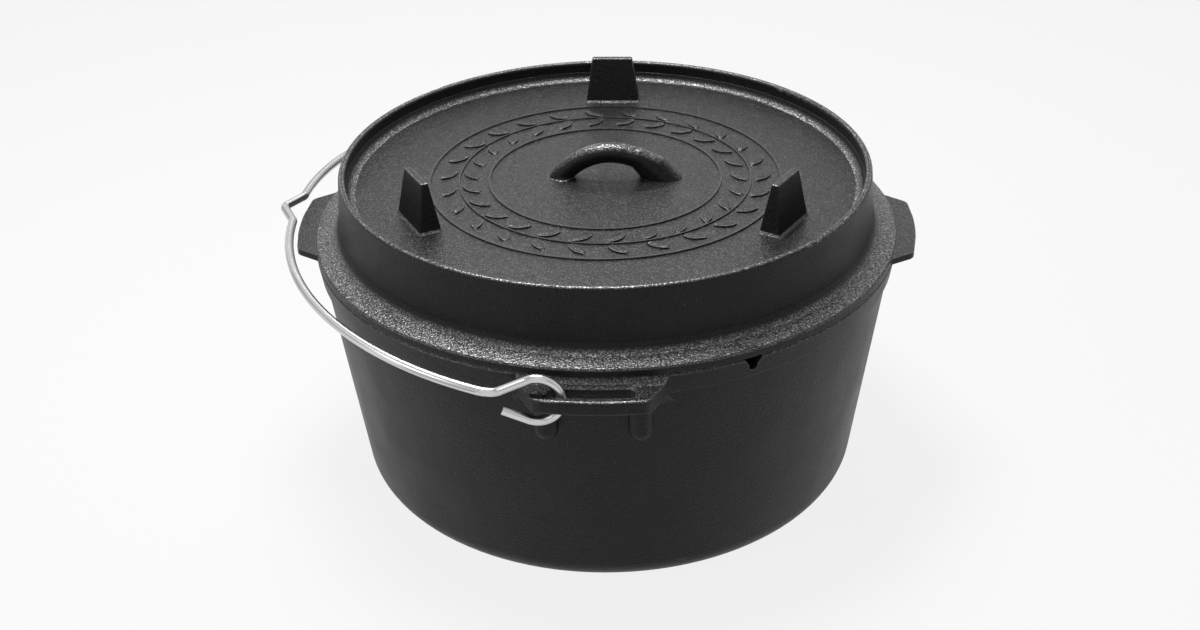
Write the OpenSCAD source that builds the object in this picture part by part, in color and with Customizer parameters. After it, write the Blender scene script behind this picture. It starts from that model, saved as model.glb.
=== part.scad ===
// Camp dutch oven: a cast-iron pot with slotted ears, a cast-iron lid that
// turns over into a pan, and a wire bail that hooks into the ears.
// Origin at the centre of the pot's base, +Z up. The ears face -Y and +Y,
// the lid's lugs face -X and +X, and the bail lies towards -X.

/* [Pot] */
// Height of the pot to its rim
pot_h = 136.5; // [100:0.5:170]
// Radius of the base, before its edge is rounded
base_r = 137.5; // [110:0.5:160]
// Outward lean of the wall, in degrees
wall_lean = 7.3; // [3:0.1:12]
// Thickness of the wall
wall_t = 4.5; // [3.5:0.1:6]
// Thickness of the floor
floor_t = 5.5; // [4:0.1:8]
// Rounding of the base's outer edge
base_round = 14; // [8:0.5:20]
// Height of the thickened band below the rim
band_h = 10.5; // [8:0.5:14]
// How far the band stands proud of the wall
band_t = 1.5; // [0.8:0.1:2.5]

/* [Ears] */
// How far an ear reaches out from the rim
ear_reach = 17.2; // [16.5:0.1:22]
// Width of an ear between its outer corners
ear_w = 59; // [54:0.5:70]
// Thickness of an ear
ear_t = 7.6; // [5.5:0.1:9]
// Drop from the rim to the top of an ear
ear_drop = 3.5; // [2:0.1:6]
// Rounding of an ear's outer corners
ear_corner = 8; // [5:0.5:10]
// Length of the slot in an ear
slot_l = 41; // [34:0.5:44]
// Width of the slot in an ear
slot_w = 7.9; // [7.5:0.1:9]
// Width of the bar outside the slot
ear_bar = 4.8; // [4:0.1:6]
// Radius of the half-round gussets below an ear
gusset_r = 6; // [4:0.1:6.5]
// Height of a gusset below its ear, without its round end
gusset_h = 20; // [12:0.5:30]
// Distance of a gusset's middle from the ear's middle
gusset_x = 22.5; // [18:0.5:25]

/* [Probe notch] */
// Direction of the notch, in degrees from the front ear towards +X
notch_turn = 29; // [20:1:70]
// Width of the notch at the rim
notch_w = 10; // [6:0.5:12]
// Depth of the notch below the rim
notch_h = 7; // [4:0.5:8]
// Radius of the notch's round bottom
notch_r = 2.4; // [1:0.1:2.6]

/* [Lid] */
// Height of the lid's rim above the pot's rim
lid_h = 39.5; // [30:0.5:50]
// Outer radius of the lid's rim
lid_rim_r = 141.5; // [136:0.5:145]
// Width of the lid's rim
lid_rim_w = 3.8; // [3:0.1:5]
// Depth of the disc below the lid's rim
recess = 11; // [7:0.5:16]
// Thickness of the disc
disc_t = 5; // [4:0.1:7]
// Thickness of the lid's wall
lid_wall_t = 5; // [4:0.1:6.5]
// Outward lean of the lid's wall, in degrees
lid_lean = 4.5; // [1:0.1:5]
// Thickness of the flange at its edge
flange_t = 4.5; // [3.5:0.1:6]
// Fall of the flange's top towards its edge, in degrees
flange_fall = 12; // [4:1:18]
// Rounding between the lid's wall and the flange
flange_fillet = 6; // [3:0.5:8]
// Depth of the lip below the flange
lip_h = 5; // [3:0.5:8]
// Gap between the lip and the mouth of the pot
lip_gap = 1.2; // [0.6:0.1:2]
// Width of the raised mark above the notch
mark_w = 8; // [4:0.5:12]
// Height of the raised mark
mark_h = 0.6; // [0.3:0.1:1.2]

/* [Lid legs] */
// Distance of the legs from the lid's middle
leg_r = 107; // [90:0.5:115]
// Height of a leg above the disc
leg_h = 25.8; // [15:0.1:35]
// Width of a leg at its foot
leg_w = 31; // [24:0.5:40]
// Thickness of a leg at its foot
leg_t = 12; // [9:0.5:16]
// Width of a leg at its tip
leg_tip_w = 23.4; // [16:0.1:24]
// Thickness of a leg at its tip
leg_tip_t = 4.2; // [3:0.1:8]

/* [Lid handle] */
// Distance between the handle's feet
handle_span = 53.5; // [46:0.1:60]
// Height of the handle's centre line above the disc
handle_rise = 14.1; // [12:0.1:20]
// Thickness of the handle
handle_d = 10.9; // [8:0.1:12]
// Distance of the handle's middle from the lid's middle, along X
handle_x = 3.2; // [-6:0.1:6]
// Width of the handle's wide foot, along X
handle_foot_w = 20.4; // [14:0.2:26]

/* [Lid lugs] */
// How far a lug reaches past the flange
lug_reach = 9.8; // [6:0.1:12]
// Width of a lug at its outer edge
lug_w = 64; // [40:0.5:70]
// Thickness of a lug
lug_t = 3.5; // [2.5:0.1:3.8]
// Rounding of a lug's corners
lug_corner = 6; // [3:0.5:7]
// Turn of the lugs towards the front ear, in degrees
lug_turn = 3; // [0:0.5:4]

/* [Bail] */
// Diameter of the wire
wire_d = 4.6; // [4:0.1:5.2]
// Radius of a hook, to the middle of the wire
hook_r = 11.6; // [11.2:0.1:13]
// Slope of the wire between the hook and the arm, in degrees
ramp_a = 30; // [24:1:34]
// Height of the arms above the middle of the hooks
arm_lift = 2; // [0:0.1:3]
// Length of a hook's straight tail
tail_l = 13; // [8:0.5:20]
// Slope of the tail, in degrees
tail_a = 17; // [0:1:20]
// Height of the peak in the middle of the bail
peak_h = 7.5; // [6:0.5:14]
// Slope of the peak's sides, in degrees
peak_a = 28; // [22:1:40]
// Angle at which the bail lies, above level
bail_rest = 5.5; // [4:0.5:10]
// Gap between the bail and the lid's lug
bail_gap = 0.5; // [0.5:0.1:3]
// Running gap between a hook and the bar outside its slot
hook_gap = 0.4; // [0.3:0.05:1]

/* [Hidden] */
$fn = 96;
iron = "#2c2c2e";
steel = "#c8cacb";
skin = 1;
sink = 0.4;
meet = 0.03;

// Pot
lean_t = tan(wall_lean);
wall_across = wall_t / cos(wall_lean);
rim_r = base_r + pot_h * lean_t;
mouth_r = rim_r - wall_across;
band_r = rim_r + band_t;
rim_edge = 1;

// Ears
ear_r = rim_r + ear_reach;
ear_top = pot_h - ear_drop;
ear_mid = ear_top - ear_t / 2;
ear_bottom = ear_top - ear_t;
ear_edge = 1.8;
ear_root_w = ear_w + 22;
ear_root_y = rim_r - 12;
ear_haunch = 5;
slot_r = ear_r - ear_bar - slot_w / 2;
slot_half_turn = asin((slot_l - slot_w) / 2 / slot_r);
slot_edge = 0.9;

// Lid
rim_top = pot_h + lid_h;
disc_top = rim_top - recess;
disc_bottom = disc_top - disc_t;
flange_r = band_r;
flange_top = pot_h + flange_t;
flange_edge = 0.7;
rim_round = lid_rim_w / 2;
rim_in_r = lid_rim_r - lid_rim_w;
disc_fillet = min(5, recess - rim_round - 1);
wall_top = [lid_rim_r, rim_top - rim_round];
wall_foot = let (fall = tan(flange_fall), lean = tan(lid_lean))
    [wall_top.x + lean * (wall_top.y - flange_top - fall * (flange_r - wall_top.x)) / (1 - lean * fall), 0];
wall_foot_z = flange_top + (flange_r - wall_foot.x) * tan(flange_fall);
foot = [wall_foot.x, wall_foot_z];
lip_r = mouth_r - lip_gap;
lip_bottom = pot_h - lip_h;
lip_taper = 1;
pan_r = foot.x - lid_wall_t;
pan_mouth_r = pan_r + 2;
pan_round = 8;
probe_gap_w = notch_w + 4;

// Handle: an arc whose centre line meets the disc at the two feet
handle_arc_r = (pow(handle_span / 2, 2) + pow(handle_rise, 2)) / (2 * handle_rise);
handle_arc_z = disc_top + handle_rise - handle_arc_r;
handle_foot_fillet = 1.5;

// Lugs
lug_r = flange_r + lug_reach;
lug_top = flange_top - 0.7;
lug_root_w = lug_w + 12;

// Bail, in a frame at the hinge: reach u outwards, v along the hinge, w up
wire_r = wire_d / 2;
short = 0.15;
hinge_x = -(slot_l + ear_w) / 4;
hook_y = sqrt(pow(slot_r + slot_w / 2, 2) - pow(hinge_x + hook_r - wire_r, 2)) - wire_r - hook_gap;
ramp_r = 2.2 * wire_d;
ramp_l = (hook_r * cos(ramp_a) - arm_lift - ramp_r * (1 - cos(ramp_a))) / sin(ramp_a);
ramp_start = (hook_r + ramp_r) * sin(ramp_a) + ramp_l * cos(ramp_a);
arm_flat = 0.45 * wire_d;
turn_r = 2.6 * wire_d;
tip_r = 0.9 * wire_d;
shoulder_r = 1.3 * wire_d;
arm_start_a = 3;
side_l = (peak_h - tip_r * (1 - cos(peak_a)) - shoulder_r * (cos(arm_start_a) - cos(peak_a))) / sin(peak_a);
shoulder_v = tip_r * sin(peak_a) + side_l * cos(peak_a) + shoulder_r * (sin(peak_a) - sin(arm_start_a));
shoulder_x = sqrt(pow(lug_r + bail_gap + wire_r, 2) - pow(shoulder_v, 2));
shoulder_u = (shoulder_x + hinge_x + arm_lift * sin(bail_rest)) / cos(bail_rest);
arm_p = hook_y - shoulder_v - turn_r * (1 - sin(arm_start_a));
arm_q = shoulder_u - ramp_start - arm_flat - turn_r * cos(arm_start_a);
arm_end_a = 2 * atan(arm_q / arm_p) - arm_start_a;
arm_r = turn_r + arm_q / (cos(arm_start_a) - cos(arm_end_a));

// Half of the wire, from the peak's middle to the end of a hook's tail.
// A straight is [length]; a bend is [radius, angle, roll about the wire].
half_wire = [
    [tip_r, peak_a, 0],
    [side_l],
    [shoulder_r, peak_a - arm_start_a, 180],
    [arm_r, arm_end_a - arm_start_a, 0],
    [turn_r, 90 - arm_end_a, 0],
    [arm_flat],
    [ramp_r, ramp_a, -90],
    [ramp_l],
    [hook_r, ramp_a + 180 + tail_a, 90],
    [tail_l]
];

// Point where a line from p touches the circle round c, on its left
function touch(c, r, p) =
    let (d = p - c, a = atan2(d.y, d.x) + acos(r / norm(d))) c + r * [cos(a), sin(a)];

// Half section of a round tub: base radius r, rounded foot, leaning wall, then the points of its top
module tub(r, round_r, top) {
    centre = [r + round_r * lean_t - round_r / cos(wall_lean), round_r];
    touch_wall = centre + round_r * [cos(wall_lean), -sin(wall_lean)];
    polygon(concat([[0, 0], [centre.x, 0], touch_wall], top));
    translate(centre)
        circle(round_r);
}

// Fillet in the corner k between the directions a and b, in degrees
module inner_fillet(k, a, b, r) {
    half = (b - a) / 2;
    reach = r / tan(half);
    across = [cos(a + half), sin(a + half)];
    inner = k - sink * across;
    difference() {
        polygon([inner - across, inner + reach * [cos(a), sin(a)], inner + reach * [cos(b), sin(b)]]);
        translate(k + (r / sin(half) - meet) * across)
            circle(r);
    }
}

// Outer section of the pot, with the band at its rim
module pot_outside() {
    low_r = rim_r - band_h * lean_t;
    tub(base_r, base_round, [
        [low_r - band_t * lean_t, pot_h - band_h - band_t],
        [low_r + band_t, pot_h - band_h],
        [band_r, pot_h - rim_edge],
        [band_r - rim_edge, pot_h],
        [0, pot_h]
    ]);
}

// Section of the pot's inside, from the floor up past the rim
module pot_inside() {
    deep = pot_h - floor_t + skin;
    inside_r = base_r + floor_t * lean_t - wall_across;
    tub(inside_r, base_round - wall_t / 2, [[inside_r + deep * lean_t, deep], [0, deep]]);
}

// Outline of the ear that faces +Y, seen from above
module ear_plan() {
    corner = [ear_w / 2 - ear_corner, sqrt(pow(ear_r - ear_corner, 2) - pow(ear_w / 2 - ear_corner, 2))];
    root = [ear_root_w / 2, ear_root_y];
    side = touch(corner, ear_corner, root);
    out = corner * ear_r / norm(corner);
    intersection() {
        union() {
            polygon([[-root.x, root.y], root, side, out, [0, ear_r + skin], [-out.x, out.y], [-side.x, side.y]]);
            for (s = [-1, 1])
                translate([s * corner.x, corner.y])
                    circle(ear_corner);
        }
        circle(ear_r);
    }
}

// Section of an ear: its top slopes down from the rim, its outer edges are
// round, and a haunch supports its root
module ear_section() {
    in_r = ear_root_y - skin;
    out_r = ear_r - ear_edge;
    rim_z = pot_h - rim_edge - meet;
    polygon([
        [in_r, rim_z],
        [band_r, rim_z],
        [band_r + 1.2 * (rim_z - ear_top), ear_top],
        [out_r, ear_top],
        [ear_r, ear_top - ear_edge],
        [ear_r, ear_bottom + ear_edge],
        [out_r, ear_bottom],
        [rim_r + ear_haunch / 2, ear_bottom],
        [rim_r - ear_haunch, ear_bottom - 2 * ear_haunch],
        [in_r, ear_bottom - 2 * ear_haunch]
    ]);
    for (z = [ear_top - ear_edge, ear_bottom + ear_edge])
        translate([out_r, z])
            circle(ear_edge);
}

module ear() {
    low = ear_bottom - 3 * ear_haunch;
    intersection() {
        translate([0, 0, low])
            linear_extrude(pot_h - low + skin)
                ear_plan();
        rotate_extrude()
            ear_section();
    }
    for (s = [-1, 1])
        translate([s * gusset_x, sqrt(pow(rim_r - 2, 2) - pow(gusset_x, 2)), ear_bottom - gusset_h]) {
            cylinder(r = gusset_r, h = gusset_h + ear_t / 2);
            sphere(gusset_r);
        }
}

// Curved slot of the ear that faces +Y, with eased upper and lower edges
module ear_slot() {
    half_w = slot_w / 2;
    section = [
        [-half_w - slot_edge - skin, ear_bottom - skin],
        [half_w + slot_edge + skin, ear_bottom - skin],
        [half_w, ear_bottom + slot_edge],
        [half_w, ear_top - slot_edge],
        [half_w + slot_edge + skin, ear_top + skin],
        [-half_w - slot_edge - skin, ear_top + skin],
        [-half_w, ear_top - slot_edge],
        [-half_w, ear_bottom + slot_edge]
    ];
    rotate([0, 0, 90 - slot_half_turn])
        rotate_extrude(angle = 2 * slot_half_turn)
            translate([slot_r, 0])
                polygon(section);
    for (s = [-1, 1])
        rotate([0, 0, 90 + s * slot_half_turn])
            translate([slot_r, 0])
                rotate_extrude()
                    intersection() {
                        polygon(section);
                        translate([0, ear_bottom - skin])
                            square([slot_w, ear_t + 2 * skin]);
                    }
}

// Cut across the rim, as wide as w at the rim, on the notch's bearing
module rim_cut(w, h, from_r, to_r) {
    low = 0.8 * notch_r;
    rotate([0, 0, notch_turn - 90])
        translate([from_r, 0, pot_h])
            rotate([90, 0, 90])
                linear_extrude(to_r - from_r) {
                    polygon([[-w / 2, skin], [w / 2, skin], [w / 2, 0], [low, notch_r - h], [-low, notch_r - h],
                        [-w / 2, 0]]);
                    translate([0, notch_r - h])
                        circle(notch_r);
                }
}

module pot() {
    color(iron)
        difference() {
            union() {
                rotate_extrude()
                    pot_outside();
                for (a = [0, 180])
                    rotate([0, 0, a])
                        ear();
            }
            translate([0, 0, floor_t])
                rotate_extrude()
                    pot_inside();
            for (a = [0, 180])
                rotate([0, 0, a])
                    ear_slot();
            rim_cut(notch_w, notch_h, mouth_r - 2 * wall_t, band_r + 2 * wall_t);
        }
}

// Half section of the lid, without legs, handle and lugs
module lid_section() {
    difference() {
        union() {
            polygon([
                [0, lip_bottom],
                [lip_r - lip_taper, lip_bottom],
                [lip_r, lip_bottom + lip_taper],
                [lip_r, pot_h],
                [flange_r - flange_edge, pot_h],
                [flange_r, pot_h + flange_edge],
                [flange_r, flange_top - flange_edge],
                [flange_r - flange_edge, flange_top + flange_edge * (tan(flange_fall) - 0.1)],
                foot,
                wall_top,
                [rim_in_r + 5 * meet, wall_top.y],
                [rim_in_r, disc_top],
                [0, disc_top]
            ]);
            translate([lid_rim_r - rim_round + meet, wall_top.y])
                circle(rim_round);
            inner_fillet([rim_in_r, disc_top], 90, 180, disc_fillet);
            inner_fillet(foot, -flange_fall, 90 + lid_lean, flange_fillet);
        }
        polygon([
            [0, lip_bottom - skin],
            [pan_mouth_r, lip_bottom - skin],
            [pan_r, disc_bottom - pan_round],
            [pan_r - pan_round, disc_bottom],
            [0, disc_bottom]
        ]);
        translate([pan_r - pan_round, disc_bottom - pan_round])
            circle(pan_round);
    }
}

// Tapered leg on the disc, with a chamfered foot
module lid_leg() {
    edge = 1;
    sunk = disc_t / 2;
    foot_flare = 1;
    hull()
        for (sx = [-1, 1], sy = [-1, 1]) {
            translate([sx * (leg_tip_t / 2 - edge), sy * (leg_tip_w / 2 - edge), leg_h - edge])
                sphere(edge, $fn = 24);
            translate([sx * (leg_t / 2 - edge), sy * (leg_w / 2 - edge), -sunk])
                cylinder(r = edge, h = sunk, $fn = 24);
        }
    hull()
        for (sx = [-1, 1], sy = [-1, 1])
            translate([sx * (leg_t / 2 - edge), sy * (leg_w / 2 - edge), -sunk]) {
                cylinder(r = edge + foot_flare, h = sunk, $fn = 24);
                cylinder(r = edge / 2, h = sunk + 1.4 * foot_flare, $fn = 24);
            }
}

// Arched handle along X, with a fillet round each foot and one foot spread wide
module lid_handle() {
    foot_x = handle_span / 2 - 0.7;
    wide_x = foot_x - handle_d / 2 - 2.7 + handle_foot_w / 2;
    core_r = handle_d / 2 + 0.2;
    flare = handle_foot_fillet;
    intersection() {
        translate([0, 0, handle_arc_z])
            rotate([90, 0, 0])
                rotate_extrude()
                    translate([handle_arc_r, 0])
                        circle(d = handle_d);
        translate([-handle_span, -handle_d, disc_top - disc_t / 2])
            cube([2 * handle_span, 2 * handle_d, handle_rise + 2 * handle_d]);
    }
    hull() {
        for (at = [[64.7, 0.6], [45.3, 2.8]])
            translate([0, 0, handle_arc_z])
                rotate([0, -at[0], 0])
                    translate([handle_arc_r + at[1], 0, 0])
                        sphere(d = handle_d, $fn = 48);
        translate([wide_x, 0, disc_top - disc_t / 2])
            scale([1, 0.7, 1])
                cylinder(d = handle_foot_w, h = disc_t / 2 + 0.5, $fn = 48);
    }
    for (s = [-1, 1])
        translate([s * foot_x, 0, disc_top - disc_t / 2])
            rotate_extrude()
                difference() {
                    square([core_r + flare, disc_t / 2 + flare]);
                    translate([core_r + flare, disc_t / 2 + flare])
                        circle(flare);
                }
}

// Low mark on the flange's slope, on the notch's bearing
module notch_mark() {
    rotate([0, 0, notch_turn - 90])
        translate([flange_r, 0, flange_top])
            rotate([0, flange_fall, 0])
                translate([-mark_w - 2 * flange_edge, -0.7 * mark_w, -mark_h])
                    cube([mark_w, mark_w, 2 * mark_h]);
}

// Lug that extends the flange towards +X
module lid_lug() {
    corner = [sqrt(pow(lug_r - lug_corner, 2) - pow(lug_w / 2 - lug_corner, 2)), lug_w / 2 - lug_corner];
    root = [flange_r - 2 * lug_reach, lug_root_w / 2 + lug_reach];
    side = touch([corner.y, corner.x], lug_corner, [root.y, root.x]);
    out = corner * lug_r / norm(corner);
    translate([0, 0, lug_top - lug_t])
        linear_extrude(lug_t)
            intersection() {
                union() {
                    polygon([[root.x, -root.y], [side.y, -side.x], [out.x, -out.y], [lug_r + skin, 0], out,
                        [side.y, side.x], root]);
                    for (s = [-1, 1])
                        translate([corner.x, s * corner.y])
                            circle(lug_corner);
                }
                circle(lug_r);
            }
}

module lid() {
    color(iron)
        difference() {
            union() {
                rotate_extrude()
                    lid_section();
                for (a = [90, 210, 330])
                    rotate([0, 0, a])
                        translate([leg_r, 0, disc_top])
                            lid_leg();
                translate([handle_x, 0, 0])
                    lid_handle();
                for (a = [-lug_turn, 180 + lug_turn])
                    rotate([0, 0, a])
                        lid_lug();
                notch_mark();
            }
            rotate([0, 0, notch_turn - 90])
                translate([pan_mouth_r - wall_t, -probe_gap_w / 2, lip_bottom - skin])
                    cube([lip_r - pan_mouth_r + 2 * wall_t, probe_gap_w, lip_h + skin]);
        }
}

// Wire along the steps of a path, from the origin towards +Y. Each step stops
// short of its ends, where a joint, a hair wider than the wire, takes over.
module wire(path, i = 0) {
    if (i < len(path)) {
        step = path[i];
        if (i > 0)
            sphere(wire_r + meet);
        if (len(step) == 1) {
            last = i == len(path) - 1;
            translate([0, short, 0])
                rotate([-90, 0, 0])
                    cylinder(r = wire_r, h = step[0] - (last ? 1 : 2) * short);
            translate([0, step[0], 0])
                wire(path, i + 1);
        } else {
            cut = i > 0 ? asin(short / step[0]) : 0;
            rotate([0, step[2], 0])
                translate([-step[0], 0, 0]) {
                    rotate([0, 0, cut])
                        rotate_extrude(angle = step[1] - cut - asin(short / step[0]))
                            translate([step[0], 0])
                                circle(wire_r);
                    rotate([0, 0, step[1]])
                        translate([step[0], 0, 0])
                            rotate([0, -step[2], 0])
                                wire(path, i + 1);
                }
        }
    }
}

module bail() {
    color(steel)
        translate([hinge_x, 0, ear_mid])
            rotate([0, bail_rest, 0])
                rotate([0, 0, 180])
                    for (s = [0, 1])
                        mirror([0, s, 0])
                            translate([shoulder_u + peak_h, 0, arm_lift])
                                rotate([180, 0, 0])
                                    wire(half_wire);
}

pot();
lid();
bail();
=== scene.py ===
import math

import bmesh
import bpy
from mathutils import Matrix, Vector


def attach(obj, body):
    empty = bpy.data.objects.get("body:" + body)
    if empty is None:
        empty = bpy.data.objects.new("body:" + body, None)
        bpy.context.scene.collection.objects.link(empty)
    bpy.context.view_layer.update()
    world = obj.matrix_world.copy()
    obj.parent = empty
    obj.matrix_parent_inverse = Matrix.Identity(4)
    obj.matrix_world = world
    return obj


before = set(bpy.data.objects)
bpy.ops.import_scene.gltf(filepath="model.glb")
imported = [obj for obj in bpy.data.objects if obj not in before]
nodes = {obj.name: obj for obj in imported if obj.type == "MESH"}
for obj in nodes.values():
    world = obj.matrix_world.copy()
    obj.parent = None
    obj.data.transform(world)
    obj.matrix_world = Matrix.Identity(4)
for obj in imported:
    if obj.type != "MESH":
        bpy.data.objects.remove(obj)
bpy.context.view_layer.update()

MM = 0.001

# Photograph: a 1200 x 630 image, and the camera that its ellipses give
CAMERA_AT = Vector((39.9, -789.5, 542.7)) * MM
CAMERA_AIM = Vector((-4.23, -0.24, 78.8)) * MM
CAMERA_ROLL = math.radians(-1.16)
CAMERA_LENS = 48.76
SENSOR = 36.0

# Stage: the share of the floor that glows white, which is also how bright the room shows behind it
FLOOR_GLOW = 0.85
FLOOR_GREY = 0.85
FLOOR_SIZE = 40.0
FLOOR_DROP = 0.1 * MM
ROOM_LIGHT = 0.1

# Iron: sizes of its textures, in cells per metre, and grey levels of its faces by the grain's height,
# which also paint shade on the walls and light and sheen on the tops
GRAIN_SCALE = 1100.0
GLINT_SCALE = 1500.0
CLOUD_SCALE = 40.0
# Painted shade darkens the walls; painted sheen lightens the sloping tops most, and painted light
# lightens the level tops less
WALL_SHADE_GREYS = [(0.3, 0.002), (0.42, 0.008), (0.7, 0.015)]
SLOPE_SHEEN_GREYS = [(0.38, 0.055), (0.55, 0.15), (0.72, 0.44)]
LEVEL_LIGHT_GREYS = [(0.4, 0.03), (0.55, 0.048), (0.72, 0.1)]
# Painted glints: bright specks of colour, brighter on the level tops
WALL_GLINT_GREY = 0.08
LEVEL_GLINT_GREY = 0.2
# Lighter colour along sharp edges: partly wear and partly painted highlight
EDGE_WEAR_AND_HIGHLIGHT_GREY = 0.12
EDGE_WEAR_AND_HIGHLIGHT_R = 1.4 * MM
WALL_ROUGHNESS = [(0.3, 0.37), (0.7, 0.45)]
TOP_ROUGHNESS = [(0.3, 0.27), (0.7, 0.35)]
BARE_METAL = 0.65
IRON_SPECULAR = 0.2
GRAIN_STRENGTH = 0.75
GRAIN_H = 0.48 * MM

# Wire: sizes of its textures, the first on positions and the second on directions, and its levels
WIRE_CLOUD_SCALE = 60.0
WIRE_STREAK_SCALE = 4.0
WIRE_GREYS = [(0.38, 0.36), (0.5, 0.6), (0.65, 0.68)]
WIRE_ROUGHNESS = [(0.3, 0.24), (0.7, 0.32)]

# Relief on the lid: heights above the disc, how deep it is set in, and the sizes of rings and leaves
DISC_TOP = 165.0 * MM
RELIEF_H = 0.8 * MM
RELIEF_SINK = 0.4 * MM
RING_LEAN = 0.3 * MM
RING_STEPS = 160
OUTER_RING_R = 94 * MM
STEM_RING_R = 78 * MM
INNER_RING_R = 62 * MM
BORDER_W = 1.8 * MM
STEM_W = 1.2 * MM
LEAF_PAIRS = 26
LEAF_EDGE_H = 0.8 * MM
LEAF_RIB_H = 1.2 * MM
LEAF_L = 14 * MM
LEAF_W = 6 * MM
LEAF_OFFSET = 6.2 * MM
LEAF_SPREAD = math.radians(42)
LEAF_STEPS = 8


def new_material(name):
    """A new node material with a Principled shader; returns material, nodes, links and the shader."""
    mat = bpy.data.materials.new(name)
    mat.use_nodes = True
    tree = mat.node_tree
    shader = tree.nodes["Principled BSDF"]
    return mat, tree.nodes, tree.links, shader


def noise(tree_nodes, links, coords, scale, detail, roughness):
    """A noise texture on the given coordinates."""
    node = tree_nodes.new("ShaderNodeTexNoise")
    node.inputs["Scale"].default_value = scale
    node.inputs["Detail"].default_value = detail
    node.inputs["Roughness"].default_value = roughness
    links.new(coords, node.inputs["Vector"])
    return node.outputs["Fac"]


def ramp(tree_nodes, links, value, stops):
    """A colour ramp with stops of (position, grey or colour)."""
    node = tree_nodes.new("ShaderNodeValToRGB")
    elements = node.color_ramp.elements
    while len(elements) < len(stops):
        elements.new(0.5)
    for element, (position, colour) in zip(elements, stops):
        element.position = position
        if isinstance(colour, float):
            colour = (colour, colour, colour)
        element.color = (*colour, 1.0)
    links.new(value, node.inputs["Fac"])
    return node.outputs["Color"]


def bump(tree_nodes, links, height, strength, distance):
    """The normal of a surface with the given heights on it."""
    node = tree_nodes.new("ShaderNodeBump")
    node.inputs["Strength"].default_value = strength
    node.inputs["Distance"].default_value = distance
    links.new(height, node.inputs["Height"])
    return node.outputs["Normal"]


def blend(tree_nodes, links, share, first, second):
    """The first colour, turning into the second as the share goes from 0 to 1."""
    node = tree_nodes.new("ShaderNodeMix")
    node.data_type = "RGBA"
    links.new(share, node.inputs[0])
    links.new(first, node.inputs[6])
    if isinstance(second, float):
        node.inputs[7].default_value = (second, second, second, 1.0)
    else:
        links.new(second, node.inputs[7])
    return node.outputs[2]


def share_between(tree_nodes, links, value, none_at, all_at):
    """A share that goes from 0 to 1 as the value goes from none_at to all_at."""
    node = tree_nodes.new("ShaderNodeMapRange")
    node.inputs["From Min"].default_value = none_at
    node.inputs["From Max"].default_value = all_at
    links.new(value, node.inputs["Value"])
    return node.outputs["Result"]


def edges(tree_nodes, links, radius):
    """How far a surface is from flat within the radius: 1 on a sharp edge."""
    rounded = tree_nodes.new("ShaderNodeBevel")
    rounded.samples = 6
    rounded.inputs["Radius"].default_value = radius
    surface = tree_nodes.new("ShaderNodeNewGeometry")
    turn = tree_nodes.new("ShaderNodeVectorMath")
    turn.operation = "DOT_PRODUCT"
    links.new(rounded.outputs["Normal"], turn.inputs[0])
    links.new(surface.outputs["Normal"], turn.inputs[1])
    return share_between(tree_nodes, links, turn.outputs["Value"], 0.99, 0.8)


def cast_iron():
    """Seasoned black iron with sand-cast grain: dull walls darkened by painted shade, rubbed tops
    lightened by painted light and painted sheen, painted glints as bright specks, and edges lightened
    by wear and painted highlight.
    """
    mat, n, links, shader = new_material("seasoned_cast_iron")
    texture = n.new("ShaderNodeTexCoord")
    coords = texture.outputs["Object"]
    grain = noise(n, links, coords, GRAIN_SCALE, 1.0, 0.5)
    glint_noise = noise(n, links, coords, GLINT_SCALE, 0.0, 0.5)
    clouds = noise(n, links, coords, CLOUD_SCALE, 3.0, 0.5)
    axes = n.new("ShaderNodeSeparateXYZ")
    links.new(texture.outputs["Normal"], axes.inputs[0])
    upward = share_between(n, links, axes.outputs["Z"], 0.5, 0.9)
    level = share_between(n, links, axes.outputs["Z"], 0.979, 0.986)

    # Painted shade on the walls, painted sheen on the sloping tops and painted light on the level
    # tops, all over the grain
    wall = ramp(n, links, grain, WALL_SHADE_GREYS)
    slope = ramp(n, links, grain, SLOPE_SHEEN_GREYS)
    plain = ramp(n, links, grain, LEVEL_LIGHT_GREYS)
    # Painted glints as bright specks on the walls and the level tops
    wall = blend(n, links, share_between(n, links, glint_noise, 0.77, 0.86), wall, WALL_GLINT_GREY)
    plain = blend(n, links, share_between(n, links, glint_noise, 0.73, 0.83), plain, LEVEL_GLINT_GREY)
    iron = blend(n, links, upward, wall, blend(n, links, level, slope, plain))
    # Edges lighter from wear and painted highlight
    iron = blend(n, links, edges(n, links, EDGE_WEAR_AND_HIGHLIGHT_R), iron, EDGE_WEAR_AND_HIGHLIGHT_GREY)
    links.new(iron, shader.inputs["Base Color"])

    dull = ramp(n, links, clouds, WALL_ROUGHNESS)
    rubbed = ramp(n, links, clouds, TOP_ROUGHNESS)
    links.new(blend(n, links, upward, dull, rubbed), shader.inputs["Roughness"])
    links.new(ramp(n, links, upward, [(0.0, 0.0), (1.0, BARE_METAL)]), shader.inputs["Metallic"])
    shader.inputs["Specular IOR Level"].default_value = IRON_SPECULAR
    links.new(bump(n, links, grain, GRAIN_STRENGTH, GRAIN_H), shader.inputs["Normal"])
    return mat


def wire_steel():
    """Drawn stainless wire, satin, with streaks along it."""
    mat, n, links, shader = new_material("drawn_steel_wire")
    texture = n.new("ShaderNodeTexCoord")
    clouds = noise(n, links, texture.outputs["Object"], WIRE_CLOUD_SCALE, 2.0, 0.5)
    streaks = noise(n, links, texture.outputs["Normal"], WIRE_STREAK_SCALE, 2.0, 0.5)
    shader.inputs["Metallic"].default_value = 1.0
    links.new(ramp(n, links, streaks, WIRE_GREYS), shader.inputs["Base Color"])
    links.new(ramp(n, links, clouds, WIRE_ROUGHNESS), shader.inputs["Roughness"])
    return mat


IRON = cast_iron()
STEEL = wire_steel()


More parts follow.
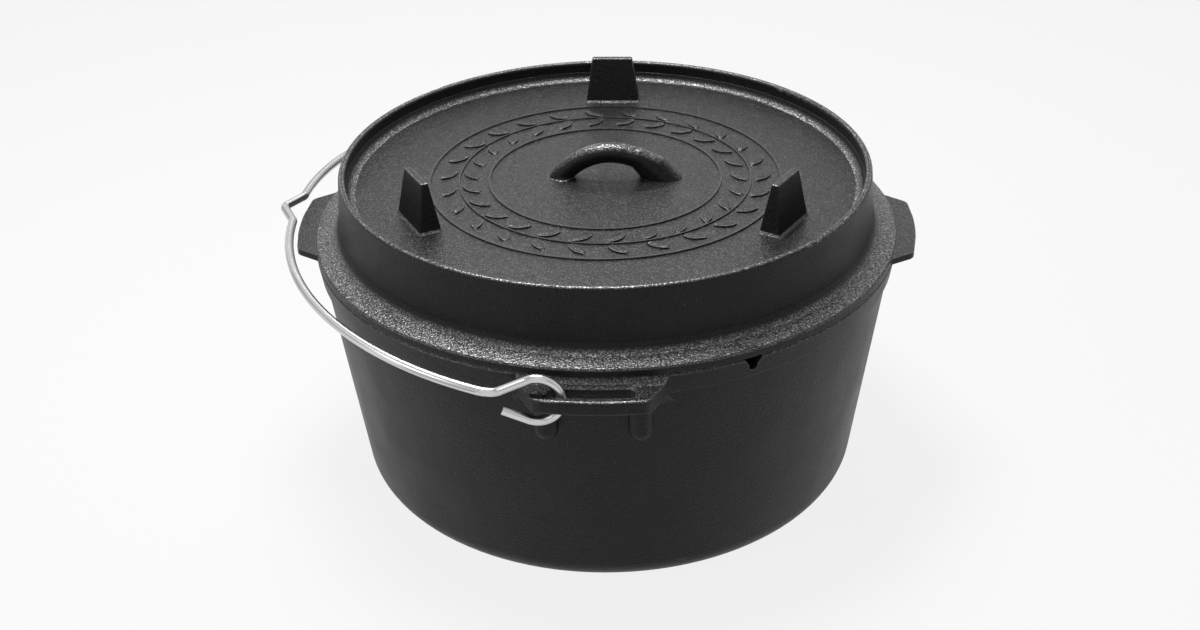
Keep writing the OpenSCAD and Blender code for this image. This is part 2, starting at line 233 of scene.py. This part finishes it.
def dress(obj, mat):
    """Gives every material slot of a piece the same material."""
    if not obj.material_slots:
        obj.data.materials.append(mat)
    for material_slot in obj.material_slots:
        material_slot.material = mat


dress(nodes["pot"], IRON)
dress(nodes["lid"], IRON)
dress(nodes["bail"], STEEL)


# Relief on the lid: three plain rings, the middle one the stem of a wreath of leaves

def add_piece(name, mesh, body):
    """Links a finished mesh as a piece that rides on a body."""
    data = bpy.data.meshes.new(name)
    bmesh.ops.recalc_face_normals(mesh, faces=mesh.faces)
    mesh.to_mesh(data)
    mesh.free()
    obj = bpy.data.objects.new(name, data)
    bpy.context.scene.collection.objects.link(obj)
    dress(obj, IRON)
    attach(obj, body)


def ring(name, radius, width):
    """A raised ring round the lid's middle."""
    mesh = bmesh.new()
    low, high = DISC_TOP - RELIEF_SINK, DISC_TOP + RELIEF_H
    inner, outer = radius - width / 2, radius + width / 2
    section = [(inner, low), (inner + RING_LEAN, high), (outer - RING_LEAN, high), (outer, low)]
    rows = []
    for i in range(RING_STEPS):
        a = 2 * math.pi * i / RING_STEPS
        rows.append([mesh.verts.new((r * math.cos(a), r * math.sin(a), z)) for r, z in section])
    for i in range(RING_STEPS):
        here, there = rows[i], rows[(i + 1) % RING_STEPS]
        for k in range(4):
            mesh.faces.new((here[k], here[(k + 1) % 4], there[(k + 1) % 4], there[k]))
    add_piece(name, mesh, "lid")


def leaf(mesh, at_r, at_a, turn, length, width):
    """A pointed leaf, turned against the radius, whose two halves rise to a rib along its middle."""
    c, s = math.cos(at_a + turn), math.sin(at_a + turn)
    mid = Vector((at_r * math.cos(at_a), at_r * math.sin(at_a)))

    def corner(along, across, height):
        flat = mid + Vector((along * c - across * s, along * s + across * c))
        return mesh.verts.new((flat.x, flat.y, DISC_TOP + height))

    rows = []
    for i in range(1, LEAF_STEPS):
        t = i / LEAF_STEPS
        along = (t - 0.5) * length
        half = width / 2 * math.sin(math.pi * t) ** 0.8
        rib = LEAF_EDGE_H + (LEAF_RIB_H - LEAF_EDGE_H) * math.sin(math.pi * t) ** 0.5
        rows.append([corner(along, -half, -RELIEF_SINK), corner(along, -half, LEAF_EDGE_H),
                     corner(along, 0, rib), corner(along, half, LEAF_EDGE_H),
                     corner(along, half, -RELIEF_SINK)])
    for here, there in zip(rows, rows[1:]):
        for k in range(5):
            mesh.faces.new((here[k], here[(k + 1) % 5], there[(k + 1) % 5], there[k]))
    for tip_at, row in ((-0.5, rows[0]), (0.5, rows[-1])):
        tip = corner(tip_at * length, 0, -RELIEF_SINK)
        for k in range(5):
            mesh.faces.new((row[k], row[(k + 1) % 5], tip))


def wreath(name, count, radius):
    """Leaves in pairs along a ring."""
    mesh = bmesh.new()
    for i in range(count):
        a = 2 * math.pi * i / count
        for side in (1, -1):
            turn = math.pi / 2 - side * LEAF_SPREAD
            leaf(mesh, radius + side * LEAF_OFFSET, a, turn, LEAF_L, LEAF_W)
    add_piece(name, mesh, "lid")


ring("lid_outer_ring", OUTER_RING_R, BORDER_W)
ring("lid_stem_ring", STEM_RING_R, STEM_W)
ring("lid_inner_ring", INNER_RING_R, BORDER_W)
wreath("lid_wreath", LEAF_PAIRS, STEM_RING_R)


# Floor and backdrop

def shown_directly(tree_nodes, links):
    """1 for what the camera sees, also in metal and through glass, and 0 for light on the object."""
    path = tree_nodes.new("ShaderNodeLightPath")
    shown = path.outputs["Is Camera Ray"]
    for other in ("Is Glossy Ray", "Is Transmission Ray"):
        either = tree_nodes.new("ShaderNodeMath")
        either.operation = "MAXIMUM"
        links.new(shown, either.inputs[0])
        links.new(path.outputs[other], either.inputs[1])
        shown = either.outputs[0]
    return shown


def floor():
    """A pale floor that shows white to the camera and to mirrors, and keeps the shadow."""
    mat, n, links, shader = new_material("pale_floor")
    shader.inputs["Base Color"].default_value = (FLOOR_GREY, FLOOR_GREY, FLOOR_GREY, 1.0)
    shader.inputs["Roughness"].default_value = 0.9
    shader.inputs["Specular IOR Level"].default_value = 0.0
    share = n.new("ShaderNodeMath")
    share.operation = "MULTIPLY"
    share.inputs[1].default_value = FLOOR_GLOW
    links.new(shown_directly(n, links), share.inputs[0])
    white = n.new("ShaderNodeEmission")
    white.inputs["Color"].default_value = (1, 1, 1, 1)
    white.inputs["Strength"].default_value = 1.0
    mix = n.new("ShaderNodeMixShader")
    links.new(share.outputs[0], mix.inputs[0])
    links.new(shader.outputs["BSDF"], mix.inputs[1])
    links.new(white.outputs["Emission"], mix.inputs[2])
    links.new(mix.outputs["Shader"], n["Material Output"].inputs["Surface"])
    bpy.ops.mesh.primitive_plane_add(size=FLOOR_SIZE, location=(0, 0, -FLOOR_DROP))
    plane = bpy.context.object
    plane.name = "floor"
    plane.data.materials.append(mat)


def sky():
    """A dim, even room, which shows pale behind the floor and in metal."""
    world = bpy.data.worlds.new("studio")
    bpy.context.scene.world = world
    world.use_nodes = True
    n, links = world.node_tree.nodes, world.node_tree.links
    strength = n.new("ShaderNodeMapRange")
    strength.inputs["To Min"].default_value = ROOM_LIGHT
    strength.inputs["To Max"].default_value = FLOOR_GLOW
    links.new(shown_directly(n, links), strength.inputs["Value"])
    n["Background"].inputs["Color"].default_value = (1, 1, 1, 1)
    links.new(strength.outputs["Result"], n["Background"].inputs["Strength"])


def lamp(name, at, aim, size, power):
    """A rectangular softbox."""
    data = bpy.data.lights.new(name, "AREA")
    data.shape = "RECTANGLE"
    data.size, data.size_y = size
    data.energy = power
    obj = bpy.data.objects.new(name, data)
    bpy.context.scene.collection.objects.link(obj)
    obj.location = at
    obj.rotation_euler = (Vector(aim) - Vector(at)).to_track_quat("-Z", "Y").to_euler()


floor()
sky()
lamp("top_softbox", (-0.1, 1.0, 1.25), (0, 0, 0.15), (0.8, 0.3), 3.0)
lamp("key_softbox", (-0.12, 0.12, 1.0), (-0.05, -0.1, 0.15), (0.35, 0.35), 7.5)
lamp("left_softbox", (-1.4, -0.8, 1.1), (0, 0, 0.1), (0.8, 0.9), 4.5)


# Camera

def camera():
    """The photograph's camera."""
    data = bpy.data.cameras.new("camera")
    data.sensor_width = SENSOR
    data.lens = CAMERA_LENS
    obj = bpy.data.objects.new("camera", data)
    bpy.context.scene.collection.objects.link(obj)
    turn = (CAMERA_AIM - CAMERA_AT).to_track_quat("-Z", "Y").to_matrix().to_4x4()
    obj.matrix_world = Matrix.Translation(CAMERA_AT) @ turn @ Matrix.Rotation(CAMERA_ROLL, 4, "Z")
    bpy.context.scene.camera = obj


camera()
bpy.context.scene.view_settings.view_transform = "Standard"
